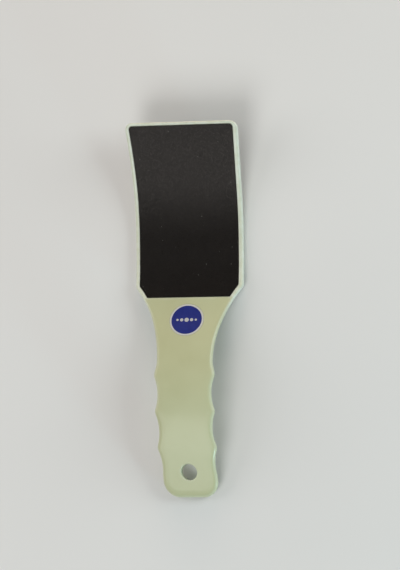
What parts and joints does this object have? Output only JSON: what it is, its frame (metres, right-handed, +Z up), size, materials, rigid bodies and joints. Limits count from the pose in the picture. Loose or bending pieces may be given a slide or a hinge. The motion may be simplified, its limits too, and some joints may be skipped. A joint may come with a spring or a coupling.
{
  "type": "foot file",
  "caption": "Shovel-shaped paddle foot file: moulded plastic blade, curved head with an abrasive sheet bonded in each face, scalloped arched grip, hanging hole and round neck label.",
  "frame": {"origin": "middle of the short flat under the head that the file rests on", "axes": "+Y along the file towards the tip of the head, +Z up out of the front face, +X across the file"},
  "size_m": [0.078, 0.2546, 0.0292],
  "materials": {
    "blade_plastic": "satin moulded polypropylene, pale green",
    "adhesive": "thin pressure-sensitive film",
    "sheet_backing": "resin-filled cotton cloth",
    "coarse_grit": "coarse silicon carbide grains in dark resin",
    "fine_grit": "fine silicon carbide grains in dark resin",
    "label_print": "printed film, navy with a pale ring"
  },
  "bodies": {
    "root": {"blade": "blade_plastic", "front_adhesive": "adhesive", "front_backing": "sheet_backing", "front_grit": "coarse_grit", "rear_adhesive": "adhesive", "rear_backing": "sheet_backing", "rear_grit": "fine_grit", "label_adhesive": "adhesive", "label": "label_print"}
  },
  "joints": []
}
